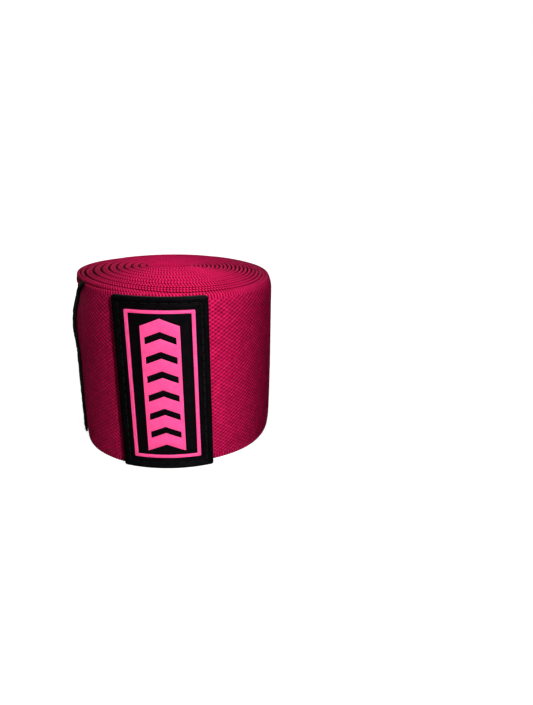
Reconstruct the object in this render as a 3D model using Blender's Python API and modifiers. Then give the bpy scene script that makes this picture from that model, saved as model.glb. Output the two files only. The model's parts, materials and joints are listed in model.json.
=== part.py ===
"""A boxing hand wrap, rolled up and standing on one selvedge, with its end tab facing -Y.

The band is one long strip. `turn` counts along it from the tip of the end tab inwards: the whole
turns are full rounds of the roll, and the fraction says where in the round a point lies. Seen from
above, the band runs clockwise from the tip at the front, round the left side and the back.
"""

import math

import bmesh
import bpy
from mathutils import Vector

MM = 0.001
TAU = 2 * math.pi

BAND_WIDTH = 50 * MM
BAND_THICKNESS = 0.85 * MM
ROLL_RADIUS = 28.6 * MM  # outer face of the roll where the tip of the tab lies over it
ROLL_TURNS = 19
EYE_HALF_LENGTH = 6.2 * MM  # the band's innermost round, a flat oval
EYE_HALF_WIDTH = 3.2 * MM
EYE_SHIFT = Vector((-2.0 * MM, 1.2 * MM))  # the oval lies left of and behind the roll's middle
DOME_HEIGHT = 1.4 * MM  # how much higher the inner rounds stand than the outer ones
LOOSENESS = 0.045 * MM  # every second gap is this much wider, twice over, on the left
DOME_POWER = 4  # the higher, the nearer the dome's rise comes to the outer rounds
STEPS_PER_TURN = 40
NUDGE = 0.002  # a short way along the band, in turns

BADGE_ANGLE = 45.2  # degrees round the roll, and so on down to the root of the tail
TAB_HINGE = 47.1
RUN_HINGE = 74.2
PATCH_START_TOP = 78.5
PATCH_START_BOTTOM = 83.5
PATCH_END = 228.0
TAIL_HINGE = 231.0
TIP_ANGLE = math.radians(-69.0)

HINGE_GAP = 0.3 * MM
GAP = 0.15 * MM
TAB_LIFT = 0.95 * MM  # how far the hook strip holds the tab off the roll
LIFT_ENDS = 110.0
TAB_TILT = math.radians(1.4)  # the tab was pressed on slightly askew
TILT_STARTS = 78.0
TILT_FULL = 49.0

TAB_STEPS = 5  # columns of faces along what lies on the tab
PATCH_STEPS = 17
PATCH_ROWS = 4
HOOK_THICKNESS = 1.0 * MM
HOOK_MARGIN = 2.4 * MM
PATCH_THICKNESS = 1.1 * MM
PATCH_MARGIN = 1.0 * MM
BADGE_MARGIN = 0.5 * MM
PANEL_THICKNESS = 1.15 * MM
BEAD_WIDTH = 1.3 * MM
BEAD_HEIGHT = 0.5 * MM
BEAD_ROUNDING = 0.3 * MM
OUTLINE_INSET = 3.15 * MM  # from the badge's upright edges
OUTLINE_END_INSET = 3.4 * MM
OUTLINE_WIDTH = 1.0 * MM
PRINT_THICKNESS = 0.4 * MM
MARK_WIDTH = 9.2 * MM
MARK_RAIL = 0.9 * MM
MARK_BAR = 3.4 * MM
MARK_WINDOW = 2.0 * MM
MARK_WINDOWS = 6
MARK_SLOPE = 0.45
THREAD_RADIUS = 0.2 * MM
SEAM_INSET = 1.7 * MM

LOOP_TAPE_WIDTH = 16 * MM
LOOP_TAPE_THICKNESS = 0.4 * MM
LOOP_TOP_MARGIN = 1.0 * MM
LOOP_TURNS = 1.5
LOOP_STEPS_PER_TURN = 24
LOOP_PLY_GAP = 0.1 * MM  # between the two plies of the folded tape
LOOP_ROOT = Vector((5.1 * MM, 2.1 * MM))  # half-axes of the oval that the thumb loop lies in
LOOP_TIP = Vector((3.6 * MM, 0.5 * MM))


def smooth(value):
    value = min(max(value, 0.0), 1.0)
    return value * value * (3 - 2 * value)


def lerp(a, b, share):
    return a + (b - a) * share


def degrees(turn):
    return turn * 360


def marks(low, high, count):
    return [lerp(low, high, i / count) for i in range(count + 1)]


# --- where the band runs -------------------------------------------------------------------


def band_middle(turn):
    """The middle of the band's thickness, in plan."""
    depth = turn - 1
    share = depth / ROLL_TURNS
    outer = ROLL_RADIUS - BAND_THICKNESS / 2
    left_side = (TIP_ANGLE + math.pi) / TAU
    swell = LOOSENESS * math.cos(math.pi * (turn - left_side)) * smooth(depth)
    swell += TAB_LIFT * smooth((LIFT_ENDS - degrees(turn)) / (LIFT_ENDS - TAB_HINGE))
    angle = TIP_ANGLE - turn * TAU
    return Vector(
        (
            EYE_SHIFT.x * share + (lerp(outer, EYE_HALF_LENGTH, share) + swell) * math.cos(angle),
            EYE_SHIFT.y * share + (lerp(outer, EYE_HALF_WIDTH, share) + swell) * math.sin(angle),
        )
    )


def outward(turn):
    ahead = band_middle(turn + NUDGE) - band_middle(turn - NUDGE)
    return Vector((-ahead.y, ahead.x)).normalized()


def dome(turn):
    """How far this round of the roll is pushed up, from none on the two outer rounds."""
    share = min(max((turn - 2) / (ROLL_TURNS - 1), 0.0), 1.0)
    return DOME_HEIGHT * (1 - (1 - share) ** DOME_POWER)


def tilt_share(turn):
    return smooth((TILT_STARTS - degrees(turn)) / (TILT_STARTS - TILT_FULL))


def climb(turn):
    """How far the tilt has raised the tail here: the integral of tilt_share along the band."""
    span = math.radians(TILT_STARTS - TILT_FULL)
    x = min(max((TILT_STARTS - degrees(turn)) / (TILT_STARTS - TILT_FULL), 0.0), 1.0)
    past = math.radians(max(TILT_FULL - degrees(turn), 0.0))
    return TAB_TILT * ROLL_RADIUS * (span * (x**3 - x**4 / 2) + past)


def on_band(turn, height, depth):
    """A point `height` up the band's width and `depth` outside the middle of its thickness."""
    leant = turn + (height - BAND_WIDTH / 2) * TAB_TILT * tilt_share(turn) / (TAU * ROLL_RADIUS)
    plan = band_middle(leant) + outward(leant) * depth
    return Vector((plan.x, plan.y, height + dome(turn) + climb(turn)))


def along(turn, distance):
    """The turn that lies `distance` further in along the outermost round."""
    return turn + distance / (TAU * ROLL_RADIUS)


# --- building blocks -----------------------------------------------------------------------


def clear_scene():
    for thing in list(bpy.data.objects):
        bpy.data.objects.remove(thing, do_unlink=True)


def new_collection(name):
    collection = bpy.data.collections.new(name)
    bpy.context.scene.collection.children.link(collection)
    return collection


def new_material(name, colour, roughness):
    material = bpy.data.materials.new(name)
    material.use_nodes = True
    shader = material.node_tree.nodes["Principled BSDF"]
    shader.inputs["Base Color"].default_value = (*colour, 1)
    shader.inputs["Roughness"].default_value = roughness
    shader.inputs["Metallic"].default_value = 0
    material.diffuse_color = (*colour, 1)
    return material


def add(name, data, material, collection):
    data.materials.append(material)
    part = bpy.data.objects.new(name, data)
    collection.objects.link(part)
    return part


def mesh_of(name, net):
    bmesh.ops.recalc_face_normals(net, faces=net.faces)
    if net.calc_volume(signed=True) < 0:
        bmesh.ops.reverse_faces(net, faces=net.faces)
    mesh = bpy.data.meshes.new(name)
    net.to_mesh(mesh)
    net.free()
    mesh.shade_smooth()
    mesh.set_sharp_from_angle(angle=math.radians(40))
    return mesh


def net_of(columns, rows):
    """A flat grid with a vertex at each (column, row) index, counted from zero."""
    net = bmesh.new()
    bmesh.ops.create_grid(net, x_segments=columns, y_segments=rows, size=1)
    for vertex in net.verts:
        vertex.co.x = round((vertex.co.x + 1) / 2 * columns)
        vertex.co.y = round((vertex.co.y + 1) / 2 * rows)
    return net


def wound_strip(name, turns, width, thickness, place, material, collection, closed=False):
    """A strip on edge through place(turn, height), given its thickness by Solidify."""
    net = net_of(len(turns) - 1, 1)
    for vertex in net.verts:
        vertex.co = place(turns[int(vertex.co.x)], vertex.co.y * width)
    if closed:
        bmesh.ops.remove_doubles(net, verts=net.verts, dist=0.01 * MM)
    part = add(name, mesh_of(name, net), material, collection)
    solid = part.modifiers.new("thickness", "SOLIDIFY")
    solid.thickness = thickness
    solid.offset = 0
    solid.use_even_offset = True
    return part


def plate(name, turns, heights, bottom, top, material, collection, keep=None):
    """A piece that lies on the band, between depths bottom and top(column, row).

    turns(row) and heights(column) give the marks of the grid; keep(column, row) drops cells.
    """
    columns = len(turns(0)) - 1
    rows = len(heights(0)) - 1
    net = net_of(columns, rows)
    if keep:
        middles = [(face, face.calc_center_median()) for face in net.faces]
        dropped = [face for face, at in middles if not keep(int(at.x), int(at.y))]
        bmesh.ops.delete(net, geom=dropped, context="FACES")
    raised = bmesh.ops.extrude_face_region(net, geom=net.faces[:], use_keep_orig=True)
    tops = {item for item in raised["geom"] if isinstance(item, bmesh.types.BMVert)}
    for vertex in net.verts:
        column, row = int(vertex.co.x), int(vertex.co.y)
        depth = top(column, row) if vertex in tops else bottom
        vertex.co = on_band(turns(row)[column], heights(column)[row], depth)
    return add(name, mesh_of(name, net), material, collection)


def thread(name, points, material, collection):
    """A seam's thread along a closed line of points."""
    data = bpy.data.curves.new(name, "CURVE")
    data.dimensions = "3D"
    data.bevel_depth = THREAD_RADIUS
    data.bevel_resolution = 0
    spline = data.splines.new("POLY")
    spline.points.add(len(points) - 1)
    for point, at in zip(spline.points, points):
        point.co = (*at, 1)
    spline.use_cyclic_u = True
    return add(name, data, material, collection)


def seam_line(turns, low, high, depth):
    """A closed line round a rectangle that lies on the band."""
    there = [on_band(turn, low, depth) for turn in turns]
    back = [on_band(turn, high, depth) for turn in reversed(turns)]
    return there + back


# --- the band ------------------------------------------------------------------------------


def tail_turns(start, end, step=360 / STEPS_PER_TURN):
    """Even steps between two angles of the outermost round, with half a hinge gap off each end."""
    gap = math.degrees(HINGE_GAP / 2 / ROLL_RADIUS)
    low = start + (gap if start > 0 else 0)
    high = end - gap
    return [angle / 360 for angle in marks(low, high, math.ceil((high - low) / step))]


def make_roll(material, collection):
    first = (TAIL_HINGE + math.degrees(HINGE_GAP / 2 / ROLL_RADIUS)) / 360
    last = ROLL_TURNS + 1
    count = round((last - first) * STEPS_PER_TURN)
    wound_strip(
        "wound_band",
        marks(first, last, count),
        BAND_WIDTH,
        BAND_THICKNESS,
        lambda turn, height: on_band(turn, height, 0),
        material,
        collection,
    )


def make_tail(material, collection):
    stretches = {
        "band_end_tab": (0, TAB_HINGE),
        "band_front_run": (TAB_HINGE, RUN_HINGE),
        "band_back_run": (RUN_HINGE, TAIL_HINGE),
    }
    for name, (start, end) in stretches.items():
        turns = tail_turns(start, end)
        half = BAND_THICKNESS / 2
        plate(
            name,
            lambda row, turns=turns: turns,
            lambda column: marks(0, BAND_WIDTH, 2),
            -half,
            lambda column, row, half=half: half,
            material,
            collection,
        )


# --- hook and loop closure -----------------------------------------------------------------


def patch_turns(height):
    """The loop patch's front edge leans forward at its top corner."""
    share = smooth(height / BAND_WIDTH)
    start = lerp(PATCH_START_BOTTOM, PATCH_START_TOP, share)
    return [angle / 360 for angle in marks(start, PATCH_END, PATCH_STEPS)]


def make_loop_patch(materials, collection):
    heights = marks(PATCH_MARGIN, BAND_WIDTH - PATCH_MARGIN, PATCH_ROWS)
    under = BAND_THICKNESS / 2 + GAP
    plate(
        "loop_patch",
        lambda row: patch_turns(heights[row]),
        lambda column: heights,
        under,
        lambda column, row: under + PATCH_THICKNESS,
        materials["loop_pile"],
        collection,
    )
    start = along(PATCH_START_BOTTOM / 360, SEAM_INSET)
    end = along(PATCH_END / 360, -SEAM_INSET)
    line = seam_line(
        marks(start, end, PATCH_STEPS),
        heights[0] + SEAM_INSET,
        heights[-1] - SEAM_INSET,
        under + PATCH_THICKNESS + GAP + THREAD_RADIUS,
    )
    thread("loop_patch_thread", line, materials["black_thread"], collection)


def make_hook_strip(materials, collection):
    start = along(0, HOOK_MARGIN)
    end = along(BADGE_ANGLE / 360, -HOOK_MARGIN / 2)
    outer = -BAND_THICKNESS / 2 - GAP
    plate(
        "hook_strip",
        lambda row: marks(start, end, TAB_STEPS),
        lambda column: marks(HOOK_MARGIN, BAND_WIDTH - HOOK_MARGIN, 2),
        outer - HOOK_THICKNESS,
        lambda column, row: outer,
        materials["hook_strip"],
        collection,
    )


# --- badge ---------------------------------------------------------------------------------

BADGE_BACK = BAND_THICKNESS / 2 + GAP
PANEL_FACE = BADGE_BACK + PANEL_THICKNESS
BADGE_TIP = -0.4 / 360
BADGE_ROOT = BADGE_ANGLE / 360
BADGE_LOW = BADGE_MARGIN
BADGE_HIGH = BAND_WIDTH - BADGE_MARGIN


def stepped(low, high, steps, count):
    """Marks at the given steps in from both ends, and even ones between."""
    inner = marks(low + steps[-1], high - steps[-1], count)
    return [low + step for step in steps[:-1]] + inner + [high - step for step in steps[-2::-1]]


def make_badge_base(materials, collection):
    steps = [0, BEAD_ROUNDING, BEAD_WIDTH - BEAD_ROUNDING, BEAD_WIDTH]
    rise = [0, BEAD_HEIGHT, BEAD_HEIGHT, 0]
    length = (BADGE_ROOT - BADGE_TIP) * TAU * ROLL_RADIUS
    distances = stepped(0, length, steps, TAB_STEPS)
    heights = stepped(BADGE_LOW, BADGE_HIGH, steps, 3)
    turns = [along(BADGE_TIP, distance) for distance in distances]

    def face(column, row):
        near = min(column, row, len(turns) - 1 - column, len(heights) - 1 - row)
        return PANEL_FACE + (rise[near] if near < len(rise) else 0)

    plate(
        "badge_base",
        lambda row: turns,
        lambda column: heights,
        BADGE_BACK,
        face,
        materials["badge_rubber"],
        collection,
    )


def make_badge_outline(materials, collection):
    steps = [0, OUTLINE_WIDTH]
    start = along(BADGE_TIP, OUTLINE_INSET)
    end = along(BADGE_ROOT, -OUTLINE_INSET)
    distances = stepped(0, (end - start) * TAU * ROLL_RADIUS, steps, TAB_STEPS)
    turns = [along(start, distance) for distance in distances]
    heights = stepped(BADGE_LOW + OUTLINE_END_INSET, BADGE_HIGH - OUTLINE_END_INSET, steps, 1)
    last = (len(turns) - 2, len(heights) - 2)
    plate(
        "badge_outline",
        lambda row: turns,
        lambda column: heights,
        PANEL_FACE + GAP,
        lambda column, row: PANEL_FACE + GAP + PRINT_THICKNESS,
        materials["badge_print"],
        collection,
        keep=lambda column, row: column in (0, last[0]) or row in (0, last[1]),
    )


def make_badge_mark(materials, collection):
    """A plain upright plate with chevron windows."""
    middle = (BADGE_TIP + BADGE_ROOT) / 2
    half = MARK_WIDTH / 2
    across = [-half, -half + MARK_RAIL, 0, half - MARK_RAIL, half]
    turns = [along(middle, distance) for distance in across]
    rows = [0, MARK_BAR]
    for _ in range(MARK_WINDOWS):
        rows += [rows[-1] + MARK_WINDOW, rows[-1] + MARK_WINDOW + MARK_BAR]
    base = (BAND_WIDTH - rows[-1] - half * MARK_SLOPE) / 2

    def heights(column):
        point = (half - abs(across[column])) * MARK_SLOPE
        return [base + row + point for row in rows]

    plate(
        "badge_mark",
        lambda row: turns,
        heights,
        PANEL_FACE + GAP,
        lambda column, row: PANEL_FACE + GAP + PRINT_THICKNESS,
        materials["badge_print"],
        collection,
        keep=lambda column, row: column in (0, 3) or row % 2 == 0,
    )


def make_badge_thread(materials, collection):
    """The thread of the seam that holds the badge and the hook strip, where it shows on the badge."""
    start = along(BADGE_TIP, SEAM_INSET + THREAD_RADIUS)
    end = along(BADGE_ROOT, -SEAM_INSET - THREAD_RADIUS)
    low = BADGE_LOW + SEAM_INSET + THREAD_RADIUS
    high = BADGE_HIGH - SEAM_INSET - THREAD_RADIUS
    depth = PANEL_FACE + GAP + THREAD_RADIUS
    line = seam_line(marks(start, end, TAB_STEPS), low, high, depth)
    thread("badge_thread", line, materials["black_thread"], collection)


# --- thumb loop ----------------------------------------------------------------------------


def make_thumb_loop(materials, collection):
    """A tape loop folded flat and rolled up in the eye of the roll, inside the band's inner end."""
    shares = marks(0, 1, round(LOOP_TURNS * LOOP_STEPS_PER_TURN))
    half = (LOOP_TAPE_THICKNESS + LOOP_PLY_GAP) / 2

    def spine(share):
        angle = TIP_ANGLE - share * LOOP_TURNS * TAU
        axes = LOOP_ROOT.lerp(LOOP_TIP, share)
        return EYE_SHIFT + Vector((axes.x * math.cos(angle), axes.y * math.sin(angle)))

    def heading(share):
        return (spine(share + NUDGE) - spine(share - NUDGE)).normalized()

    def ply(share, side):
        ahead = heading(share)
        return spine(share) + Vector((-ahead.y, ahead.x)) * side

    line = [ply(share, half) for share in shares]
    line.append(spine(1) + heading(1) * half)
    line += [ply(share, -half) for share in reversed(shares)]
    line.append(spine(0) - heading(0) * half)
    line.append(line[0])
    low = BAND_WIDTH + DOME_HEIGHT - LOOP_TOP_MARGIN - LOOP_TAPE_WIDTH
    wound_strip(
        "thumb_loop",
        line,
        LOOP_TAPE_WIDTH,
        LOOP_TAPE_THICKNESS,
        lambda at, height: Vector((at.x, at.y, low + height)),
        materials["band"],
        collection,
        closed=True,
    )


def recentre(parts):
    """Moves every part so that the origin is the middle of the foot of the whole wrap's box."""
    bpy.context.view_layer.update()
    corners = [part.matrix_world @ Vector(corner) for part in parts for corner in part.bound_box]
    low = Vector([min(corner[i] for corner in corners) for i in range(3)])
    high = Vector([max(corner[i] for corner in corners) for i in range(3)])
    shift = Vector(((low.x + high.x) / 2, (low.y + high.y) / 2, low.z))
    for part in parts:
        part.location -= shift
    return shift


def main():
    clear_scene()
    parts = new_collection("hand_wrap")
    materials = {
        "band": new_material("band", (0.62, 0.017, 0.10), 0.85),
        "loop_pile": new_material("loop_pile", (0.006, 0.006, 0.008), 0.95),
        "hook_strip": new_material("hook_strip", (0.008, 0.008, 0.009), 0.6),
        "badge_rubber": new_material("badge_rubber", (0.004, 0.004, 0.005), 0.5),
        "badge_print": new_material("badge_print", (0.90, 0.09, 0.29), 0.5),
        "black_thread": new_material("black_thread", (0.008, 0.008, 0.01), 0.8),
    }
    make_roll(materials["band"], parts)
    make_tail(materials["band"], parts)
    make_loop_patch(materials, parts)
    make_hook_strip(materials, parts)
    make_badge_base(materials, parts)
    make_badge_outline(materials, parts)
    make_badge_mark(materials, parts)
    make_badge_thread(materials, parts)
    make_thumb_loop(materials, parts)
    recentre(list(parts.objects))


main()
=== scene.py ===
"""The looks of the hand wrap: a woven band rolled up on its edge, with its badge, loop patch and hooks.

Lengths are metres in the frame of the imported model. `turn` counts along the band from the tip of its
end tab inwards, one for each round. `height` is up the band's width and `depth` is outwards from the
middle of its thickness. `along` is the length of band from the tip to a place.
"""

import json
import math

import bmesh
import bpy
import numpy as np
from mathutils import Matrix, Vector
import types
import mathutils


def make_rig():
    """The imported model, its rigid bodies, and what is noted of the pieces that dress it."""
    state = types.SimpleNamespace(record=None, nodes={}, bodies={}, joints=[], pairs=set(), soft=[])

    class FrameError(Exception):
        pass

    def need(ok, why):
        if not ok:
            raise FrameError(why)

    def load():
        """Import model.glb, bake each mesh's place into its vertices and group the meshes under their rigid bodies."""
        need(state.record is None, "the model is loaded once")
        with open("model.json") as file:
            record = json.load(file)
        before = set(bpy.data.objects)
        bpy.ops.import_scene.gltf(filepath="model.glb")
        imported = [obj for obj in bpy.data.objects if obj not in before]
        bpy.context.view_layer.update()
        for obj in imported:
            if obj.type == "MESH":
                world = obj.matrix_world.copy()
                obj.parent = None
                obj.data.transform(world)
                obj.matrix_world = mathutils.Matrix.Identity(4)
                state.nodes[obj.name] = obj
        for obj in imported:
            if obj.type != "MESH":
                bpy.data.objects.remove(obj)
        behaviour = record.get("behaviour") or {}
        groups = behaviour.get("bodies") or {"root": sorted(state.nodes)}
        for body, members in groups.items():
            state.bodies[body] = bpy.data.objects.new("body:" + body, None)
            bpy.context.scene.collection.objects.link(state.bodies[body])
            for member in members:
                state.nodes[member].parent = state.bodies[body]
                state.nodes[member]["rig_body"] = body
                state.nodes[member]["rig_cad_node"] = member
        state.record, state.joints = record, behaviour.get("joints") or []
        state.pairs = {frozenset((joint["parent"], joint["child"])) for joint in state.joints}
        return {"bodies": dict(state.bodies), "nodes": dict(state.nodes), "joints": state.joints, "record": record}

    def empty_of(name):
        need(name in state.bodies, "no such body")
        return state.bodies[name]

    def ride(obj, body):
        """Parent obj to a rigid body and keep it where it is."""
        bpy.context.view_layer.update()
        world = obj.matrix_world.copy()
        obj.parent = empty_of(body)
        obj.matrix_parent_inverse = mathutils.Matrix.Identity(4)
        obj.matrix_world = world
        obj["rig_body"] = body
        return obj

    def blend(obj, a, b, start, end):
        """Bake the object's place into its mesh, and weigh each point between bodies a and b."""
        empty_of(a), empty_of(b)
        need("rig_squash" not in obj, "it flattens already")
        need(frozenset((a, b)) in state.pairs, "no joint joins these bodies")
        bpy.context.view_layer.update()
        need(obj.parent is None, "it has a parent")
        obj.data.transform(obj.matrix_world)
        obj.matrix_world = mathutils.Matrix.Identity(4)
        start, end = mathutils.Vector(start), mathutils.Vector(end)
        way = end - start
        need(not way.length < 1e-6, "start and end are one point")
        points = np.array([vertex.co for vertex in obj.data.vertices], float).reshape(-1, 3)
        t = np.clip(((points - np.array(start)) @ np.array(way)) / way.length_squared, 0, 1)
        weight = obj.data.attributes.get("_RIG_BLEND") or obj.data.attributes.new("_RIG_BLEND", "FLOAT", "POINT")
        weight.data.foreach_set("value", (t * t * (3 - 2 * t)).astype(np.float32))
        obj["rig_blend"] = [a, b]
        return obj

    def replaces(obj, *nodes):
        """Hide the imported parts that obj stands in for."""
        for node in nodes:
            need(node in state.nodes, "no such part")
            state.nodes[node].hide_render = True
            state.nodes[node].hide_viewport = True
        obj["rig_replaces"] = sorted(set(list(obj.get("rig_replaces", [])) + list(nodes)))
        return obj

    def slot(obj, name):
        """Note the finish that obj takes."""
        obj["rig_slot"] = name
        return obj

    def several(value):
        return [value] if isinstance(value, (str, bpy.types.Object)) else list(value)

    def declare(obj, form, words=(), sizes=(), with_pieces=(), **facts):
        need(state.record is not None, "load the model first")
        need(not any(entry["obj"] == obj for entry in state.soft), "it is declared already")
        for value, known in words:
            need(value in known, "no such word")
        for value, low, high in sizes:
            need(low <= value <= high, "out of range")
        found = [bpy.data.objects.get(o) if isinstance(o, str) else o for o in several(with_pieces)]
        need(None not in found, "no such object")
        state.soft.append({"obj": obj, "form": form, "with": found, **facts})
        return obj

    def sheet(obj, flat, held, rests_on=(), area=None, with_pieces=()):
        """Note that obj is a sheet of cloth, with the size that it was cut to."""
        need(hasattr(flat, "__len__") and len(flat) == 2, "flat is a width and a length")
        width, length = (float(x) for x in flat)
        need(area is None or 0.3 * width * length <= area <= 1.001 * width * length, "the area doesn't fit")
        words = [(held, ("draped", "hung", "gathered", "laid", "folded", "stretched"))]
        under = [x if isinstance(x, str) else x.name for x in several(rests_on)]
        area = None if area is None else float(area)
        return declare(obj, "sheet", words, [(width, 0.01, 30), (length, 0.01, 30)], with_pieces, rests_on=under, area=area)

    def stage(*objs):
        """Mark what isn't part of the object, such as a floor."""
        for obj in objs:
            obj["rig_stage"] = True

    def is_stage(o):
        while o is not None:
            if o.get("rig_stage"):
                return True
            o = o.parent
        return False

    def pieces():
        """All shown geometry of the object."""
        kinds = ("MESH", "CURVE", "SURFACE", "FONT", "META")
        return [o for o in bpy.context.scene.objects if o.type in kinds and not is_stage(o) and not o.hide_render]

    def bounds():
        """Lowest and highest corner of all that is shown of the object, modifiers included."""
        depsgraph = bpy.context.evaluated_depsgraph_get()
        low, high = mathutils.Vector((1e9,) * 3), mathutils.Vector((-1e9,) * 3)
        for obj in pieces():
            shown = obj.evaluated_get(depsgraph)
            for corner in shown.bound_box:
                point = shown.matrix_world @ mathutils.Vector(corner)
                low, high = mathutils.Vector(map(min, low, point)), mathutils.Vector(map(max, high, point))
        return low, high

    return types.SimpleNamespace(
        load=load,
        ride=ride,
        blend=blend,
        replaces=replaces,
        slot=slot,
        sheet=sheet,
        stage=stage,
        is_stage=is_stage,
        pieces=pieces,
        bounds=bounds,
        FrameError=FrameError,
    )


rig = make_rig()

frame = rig.load()
cad_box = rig.bounds()

MM = 0.001
TAU = 2 * math.pi

# --- the band and what is sewn to it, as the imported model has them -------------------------

BAND_WIDTH = 50 * MM
BAND_THICKNESS = 0.85 * MM
ROLL_RADIUS = 28.6 * MM
ROLL_TURNS = 19
EYE_HALF_LENGTH = 6.2 * MM
EYE_HALF_WIDTH = 3.2 * MM
EYE_SHIFT = np.array((-2.0 * MM, 1.2 * MM))
DOME_HEIGHT = 1.4 * MM
DOME_POWER = 4
LOOSENESS = 0.045 * MM
NUDGE = 0.002

BADGE_ANGLE = 45.2  # places along the band, in degrees round the roll from its tip
TAB_HINGE = 47.1
RUN_HINGE = 74.2
PATCH_END = 228.0
TAIL_HINGE = 231.0
TIP_ANGLE = math.radians(-69.0)
LAST_TURN = ROLL_TURNS + 1
LEFT_SIDE = (TIP_ANGLE + math.pi) / TAU  # the share of a round from the tip to the left side

TAB_LIFT = 0.95 * MM
LIFT_ENDS = 110.0
TAB_TILT = math.radians(1.4)
TILT_STARTS = 78.0
TILT_FULL = 49.0

GAP = 0.15 * MM
HOOK_THICKNESS = 1.0 * MM
HOOK_MARGIN = 2.4 * MM
PATCH_MARGIN = 1.0 * MM
BADGE_MARGIN = 0.5 * MM
PANEL_THICKNESS = 1.15 * MM
BEAD_HEIGHT = 0.5 * MM
OUTLINE_INSET = 3.15 * MM
OUTLINE_END_INSET = 3.4 * MM
OUTLINE_WIDTH = 0.85 * MM
PRINT_THICKNESS = 0.2 * MM
MARK_WIDTH = 9.2 * MM
MARK_RAIL = 0.9 * MM
MARK_BAR = 3.4 * MM
MARK_WINDOW = 2.0 * MM
MARK_WINDOWS = 6
MARK_SLOPE = 0.45

LOOP_TAPE_WIDTH = 16 * MM
LOOP_TAPE_THICKNESS = 0.4 * MM
LOOP_TOP_MARGIN = 1.0 * MM
LOOP_TURNS = 1.5
LOOP_PLY_GAP = 0.1 * MM
LOOP_ROOT = np.array((5.1 * MM, 2.1 * MM))
LOOP_TIP = np.array((3.6 * MM, 0.5 * MM))

# --- the weave and the selvedge ------------------------------------------------------------

WEAVE_ROW = 0.84 * MM  # along the band, from one row of floats to the next
WEAVE_COLUMN = 1.15 * MM  # across the band, between the floats of one row
WEAVE_DEPTH = 0.2 * MM
WEAVE_LEVEL = 0.75  # the relief that lies at the CAD surface
WEAVE_FAINTEST = 0.76  # the lowest float, as a share of the highest
WEAVE_FULLNESS = 0.75  # under 1 makes the floats wider than the holes
WEAVE_SLANT = 0.32  # how far the relief favours one diagonal on the right, and the other on the left: partly painted light, since it mirrors the floats as the light catches them, in their relief and in their tone
RIB_DEPTH = 0.15 * MM
RIB_LEVEL = 0.6  # likewise
RIB_MEAN = 0.52
RIB_SWING = 0.42
RIB_FAINTEST = 0.88
RIB_SLANT = 0.3  # how far a selvedge rib leans, in ribs, from its top to its side
RIB_ANGLE = math.radians(-95)  # where on the roll the ribs are boldest
RIB_BOLD = (1.6 / 3, 2.6 / 3)  # the cosines from there between which they become bold
RIB_BEHIND = 0.35  # how bold they are on the far side
RIB_SCATTER_ROW = 3  # picks the ribs' own uneven heights
RIB_SIDE_LIGHT = 0.12  # painted light and shade: how much lighter the selvedge is on the right, and darker on the left, as the light falls; it also moves the ribs' relief a little
SELVEDGE = 1.35 * MM
SELVEDGE_FADE = 0.5 * MM

# --- painted shade between the rounds, where little light gets in, and under the roll's rim ---

SHADE_EDGE = (0.05, 0.6)  # the slopes of the top edge between which the dark gives way
SHADE_OPEN = 0.25  # how light the gaps are
SHADE_CLOSED = 0.45  # how much less painted shade where the outer rounds lie tight together, on the right
SHADE_ROUNDS = 4  # how many rounds in, that has fallen to a third
RIM_SHADE = 0.9  # how dark the painted shadow line is under the rim of the roll, and where it runs
RIM_SHADE_DROP = 1.3 * MM
RIM_SHADE_WIDTH = 0.55 * MM
RIM_SHADE_STARTS = (1.02, 1.08)
RIM_SHADE_ENDS = (1.5, 1.3)

# --- how the soft band gives ---------------------------------------------------------------

# A pair of values is where something starts and where it is full.

CURL = 0.8 * MM  # how far the outermost selvedges lean in over the roll
CURL_REACH = 4.5 * MM  # how much of the band's width leans
CURL_ROUNDS = 3.5  # how many rounds in, it has fallen to a third
CURL_LEFT = 0.45
CURL_RIGHT = 1.5
CURL_FOOT = 0.4
CURL_HELD = 0.25  # what is left of it under the badge
FREE_SPAN = 60.0  # the degrees past the badge over which it comes back
SAG = 0.45 * MM  # how far the curled selvedges have sunk
WAVE = 0.16 * MM  # how far the outer rounds wander in and out
WAVE_SPAN = 30.0
WAVES = ((1.0, 3, 2.1, 2.6), (0.7, 7, 0.0, 5.2))  # strength, number round the roll, phase and lean
DROP = 2.5 * MM  # how much narrower the stretched tail is than the rounds that it covers
DROP_STARTS = (68.0, 98.0)  # in degrees from the tip, as DROP_ENDS
DROP_ENDS = (225.0, 165.0)
RISE = 1.0 * MM  # how far those rounds stand up behind it
RISE_ANGLE = math.radians(-160)
RISE_SWING = 0.95
RISE_CUT = 0.1
RISE_STARTS = (0.75, 1.1)  # in turns
BULGE = 0.65 * MM  # how far the tail stands out on the left, below its top edge
BULGE_HEIGHT = 35.5 * MM
BULGE_SPREAD = 5.5 * MM
BULGE_ANGLE = TIP_ANGLE - math.radians(94)
BULGE_FOCUS = 12  # the higher, the less of the roll's left side has it
TAIL_ENDS = (1.0, 0.7)  # the turns between which the bulge gives way to the rounds behind the tail
PINCH = 1.2 * MM  # how far the tail's top edge bites into the roll on the left
PINCH_SHARES = (0.8, 0.8 + 1 / 6)
SQUEEZE = 0.9 * MM  # how far the rounds behind it give way
SQUEEZE_FOOT = (30 * MM, 40 * MM)
SQUEEZE_TOP = (46.8 * MM, 44.8 * MM)
LIP = 0.9 * MM  # how far they spread above it
LIP_HEIGHTS = (45.5 * MM, 47.5 * MM)
BOW = 0.8 * MM  # how far the inner rounds bulge at half their height
BOW_STARTS = (1, 7)
BOW_ENDS = (LAST_TURN, LAST_TURN - 4)
PAIRING = 0.13 * MM  # how far the selvedges lean together two by two
PAIRING_STARTS = (1, 3)

# --- where the band splits into pieces, in degrees round the roll from its tip -------------

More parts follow.
